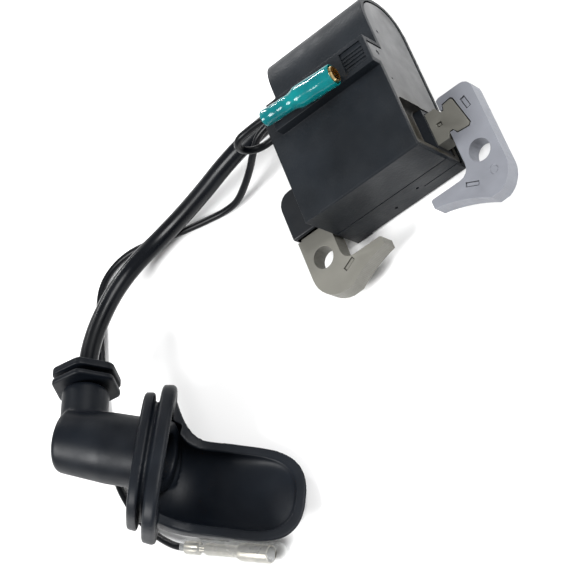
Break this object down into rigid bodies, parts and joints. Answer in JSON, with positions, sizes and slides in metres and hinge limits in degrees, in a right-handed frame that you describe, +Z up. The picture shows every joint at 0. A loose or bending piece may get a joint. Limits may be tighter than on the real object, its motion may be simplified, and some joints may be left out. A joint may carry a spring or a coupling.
{
  "type": "ignition coil",
  "caption": "Small-engine ignition coil: potted module on a laminated U core with flywheel poles, rubber plug cap with cowl seal, high-tension lead and switch leads.",
  "frame": {"origin": "Under the middle of the coil unit, halfway between the two mounting holes in X, on the table the moulded case lies on.", "axes": "+X from the left leg to the right leg, +Y from the flywheel poles to the rounded top of the case, +Z up out of the case's front face. The leads and the plug cap lie to -X."},
  "size_m": [0.1447, 0.1169, 0.0351],
  "materials": {
    "case_plastic": "fine-textured near-black moulded plastic",
    "grey_resin": "satin dark grey casting resin",
    "core_steel": "warm grey oiled silicon-steel laminations",
    "leg_steel": "cool grey silicon-steel laminations with slight rust",
    "black_rubber": "satin black rubber",
    "lead_jacket": "glossy black cable jacket",
    "wire_jacket": "glossy black wire jacket",
    "bobbin_plastic": "satin black moulded nylon",
    "copper_wire": "enamelled copper wire",
    "fine_copper": "fine enamelled copper wire",
    "board_green": "green circuit board",
    "part_black": "moulded black component body",
    "capacitor_film": "brown dipped film capacitor",
    "ferrite": "dark ferrite",
    "brass": "bright brass",
    "tinned_brass": "tin-plated brass",
    "spring_steel": "bright spring wire",
    "green_vinyl": "glossy teal-green soft vinyl",
    "clear_vinyl": "clear soft vinyl"
  },
  "bodies": {
    "coil": {"coil_case": "case_plastic", "potting_resin": "grey_resin", "core_bar_and_left_leg": "core_steel", "right_leg": "leg_steel", "left_leg_cover": "bobbin_plastic", "charge_coil_bobbin": "bobbin_plastic", "charge_coil_winding": "copper_wire", "transformer_core_rod": "ferrite", "transformer_primary_winding": "copper_wire", "transformer_bobbin": "bobbin_plastic", "transformer_secondary_winding": "fine_copper", "circuit_board": "board_green", "thyristor": "part_black", "discharge_capacitor": "capacitor_film", "gate_resistor": "tinned_brass", "rectifier_diode": "part_black", "clamp_diode": "part_black", "ground_strip": "tinned_brass", "lead_terminal_screw": "brass", "lead_gland": "black_rubber", "ht_lead": "lead_jacket", "clear_end_lead": "wire_jacket", "green_end_lead": "wire_jacket", "green_terminal": "brass", "clear_terminal": "tinned_brass"},
    "cap": {"plug_cap": "black_rubber", "cowl_seal": "black_rubber", "plug_spring": "spring_steel", "plug_terminal_cup": "brass"},
    "grommet": {"lead_grommet": "black_rubber"},
    "green_cover": {"green_sleeve": "green_vinyl"},
    "clear_cover": {"clear_sleeve": "clear_vinyl"}
  },
  "joints": [
    {"name": "plug_cap_swivel", "type": "hinge", "parent": "coil", "child": "cap", "pos_m": [-0.1032, -0.034, 0.0256], "axis": [0.2001, 0.9378, -0.2836], "range_deg": [-60, 0]},
    {"name": "lead_grommet_slide", "type": "slide", "parent": "coil", "child": "grommet", "axis": [0.2001, 0.9378, -0.2836], "range_m": [0, 0.0015]},
    {"name": "green_sleeve_slide", "type": "slide", "parent": "coil", "child": "green_cover", "axis": [-0.9971, 0.0767, 0], "range_m": [0, 0.003]},
    {"name": "clear_sleeve_slide", "type": "slide", "parent": "coil", "child": "clear_cover", "axis": [-0.8589, 0.5122, 0], "range_m": [0, 0.0025]}
  ]
}
